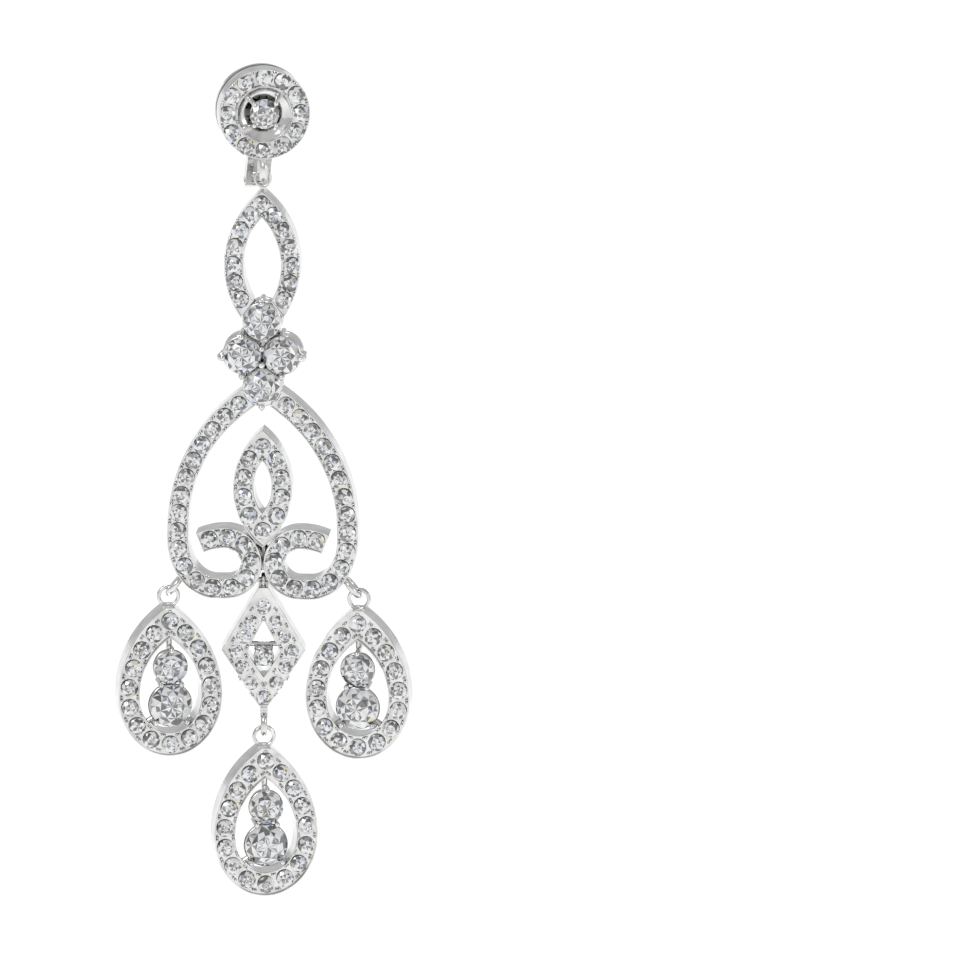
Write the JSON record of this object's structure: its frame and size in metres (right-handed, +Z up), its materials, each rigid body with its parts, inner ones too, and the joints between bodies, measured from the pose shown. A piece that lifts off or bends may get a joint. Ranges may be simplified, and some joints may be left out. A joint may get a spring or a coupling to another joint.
{
  "type": "chandelier earring",
  "caption": "Chandelier drop earring with a round stud, omega clip, marquise link, four-stone cluster, scrolled arch, kite and three pear drops, pave set",
  "frame": {"origin": "root of the ear post, on the flat back of the stud, where the earring sits against the ear lobe", "axes": "-Y out of the stud's face, +Y along the post through the lobe, +Z up, +X to the right as the face is seen"},
  "size_m": [0.0232, 0.012, 0.0666],
  "materials": {
    "white_gold": "polished rhodium-plated white gold",
    "diamond": "clear cut stone"
  },
  "bodies": {
    "stud": {"stud_halo": "white_gold", "stud_stone": "diamond", "ear_post": "white_gold", "clip_pin": "white_gold"},
    "clip": {"clip_loop": "white_gold"},
    "drop": {"drop_frame": "white_gold", "cluster_stone_top": "diamond", "cluster_stone_left": "diamond", "cluster_stone_right": "diamond", "cluster_stone_bottom": "diamond", "kite_frame": "white_gold", "kite_stone": "diamond", "pear_left_frame": "white_gold", "pear_right_frame": "white_gold", "pear_lower_frame": "white_gold", "pear_left_stone_upper": "diamond", "pear_left_stone_lower": "diamond", "pear_right_stone_upper": "diamond", "pear_right_stone_lower": "diamond", "pear_lower_stone_upper": "diamond", "pear_lower_stone_lower": "diamond"}
  },
  "joints": [
    {"name": "drop_swing", "type": "hinge", "parent": "stud", "child": "drop", "pos_m": [0, -0.0013, -0.00531], "axis": [0, 1, 0], "range_deg": [-30, 30]},
    {"name": "clip_hinge", "type": "hinge", "parent": "stud", "child": "clip", "pos_m": [0, 0.0025, -0.0062], "axis": [-1, 0, 0], "range_deg": [0, 75]}
  ]
}
